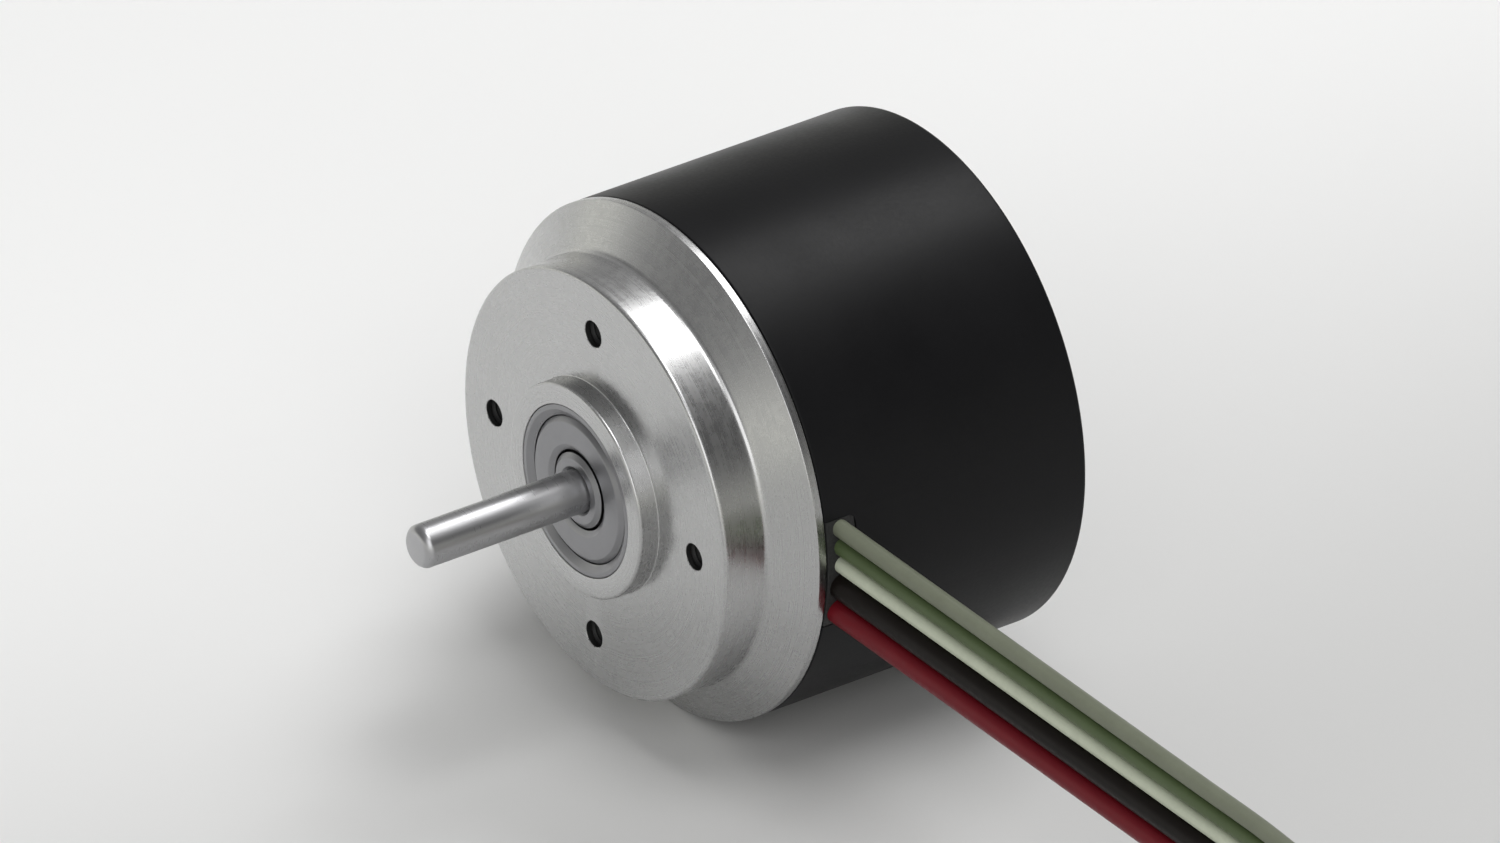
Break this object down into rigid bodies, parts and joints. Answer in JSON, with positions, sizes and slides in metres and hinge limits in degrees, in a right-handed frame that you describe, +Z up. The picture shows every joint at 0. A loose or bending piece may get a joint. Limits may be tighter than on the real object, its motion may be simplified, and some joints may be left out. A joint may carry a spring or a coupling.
{
  "type": "electric motor",
  "caption": "Small round brushless motor with a plain shaft, a pilot boss on a stepped aluminium end, a black can and side-exit flying leads.",
  "frame": {"origin": "on the floor under the middle of the motor: half way between the shaft's tip and the can's rear edge, under the shaft's axis, with the leads left out", "axes": "-Y out along the shaft, +X the way the leads leave, +Z up"},
  "size_m": [0.1741, 0.0619, 0.048],
  "materials": {
    "turned_aluminium": "fine turned, satin face and bright edges",
    "can_coating": "satin black coating",
    "shaft_steel": "ground and polished round the axis",
    "plain_steel": "bright zinc",
    "bearing_steel": "ground",
    "rubber": "matt",
    "lamination_steel": "stacked sheets, oxide blue-grey",
    "nylon": "natural moulded",
    "copper_wire": "lacquered copper wire",
    "board": "solder mask",
    "chip_resin": "moulded resin",
    "capacitor_case": "drawn can",
    "magnet_plating": "nickel plated sintered magnet",
    "balance_brass": "turned",
    "lead_grey_skin": "smooth insulation",
    "lead_green_skin": "smooth insulation",
    "lead_white_skin": "smooth insulation",
    "lead_black_skin": "smooth insulation",
    "lead_red_skin": "smooth insulation",
    "lead_bundle": "five coloured leads wound together",
    "tie_nylon": "moulded nylon"
  },
  "bodies": {
    "housing": {"front_end_bell": "turned_aluminium", "rear_end_cap": "turned_aluminium", "housing_can": "can_coating", "through_bolt_1": "plain_steel", "through_bolt_2": "plain_steel", "through_bolt_3": "plain_steel", "wave_spring": "plain_steel", "front_bearing_outer_ring": "bearing_steel", "front_bearing_front_shield": "bearing_steel", "front_bearing_rear_shield": "bearing_steel", "rear_bearing_outer_ring": "bearing_steel", "rear_bearing_front_shield": "bearing_steel", "rear_bearing_rear_shield": "bearing_steel", "lead_grommet": "rubber", "stator_core": "lamination_steel", "stator_insulator_front": "nylon", "stator_insulator_rear": "nylon", "coil_1": "copper_wire", "coil_2": "copper_wire", "coil_3": "copper_wire", "coil_4": "copper_wire", "coil_5": "copper_wire", "coil_6": "copper_wire", "coil_7": "copper_wire", "coil_8": "copper_wire", "coil_9": "copper_wire", "circuit_board": "board", "hall_sensor_1": "chip_resin", "hall_sensor_2": "chip_resin", "hall_sensor_3": "chip_resin", "driver_chip": "chip_resin", "capacitor_1": "capacitor_case", "capacitor_2": "capacitor_case", "lead_grey": "lead_grey_skin", "lead_green": "lead_green_skin", "lead_white": "lead_white_skin", "lead_black": "lead_black_skin", "lead_red": "lead_red_skin", "lead_coil": "lead_bundle", "lead_tie": "tie_nylon"},
    "rotor": {"shaft": "shaft_steel", "rotor_core": "lamination_steel", "magnet_1": "magnet_plating", "magnet_2": "magnet_plating", "magnet_3": "magnet_plating", "magnet_4": "magnet_plating", "magnet_5": "magnet_plating", "magnet_6": "magnet_plating", "magnet_7": "magnet_plating", "magnet_8": "magnet_plating", "balance_ring": "balance_brass", "front_spacer": "plain_steel", "rear_spacer": "plain_steel", "retaining_ring": "plain_steel", "front_bearing_inner_ring": "bearing_steel", "rear_bearing_inner_ring": "bearing_steel"},
    "front_ball_set": {"front_bearing_balls": "bearing_steel"},
    "rear_ball_set": {"rear_bearing_balls": "bearing_steel"}
  },
  "joints": [
    {"name": "shaft_spin", "type": "hinge", "parent": "housing", "child": "rotor", "pos_m": [0, 0, 0.024], "axis": [0, -1, 0], "continuous": true},
    {"name": "front_cage_spin", "type": "hinge", "parent": "housing", "child": "front_ball_set", "pos_m": [0, 0, 0.024], "axis": [0, -1, 0], "continuous": true},
    {"name": "rear_cage_spin", "type": "hinge", "parent": "housing", "child": "rear_ball_set", "pos_m": [0, 0, 0.024], "axis": [0, -1, 0], "continuous": true}
  ],
  "couplings": [
    {"joint": "front_cage_spin", "follows": "shaft_spin", "ratio": 0.375},
    {"joint": "rear_cage_spin", "follows": "shaft_spin", "ratio": 0.375}
  ]
}
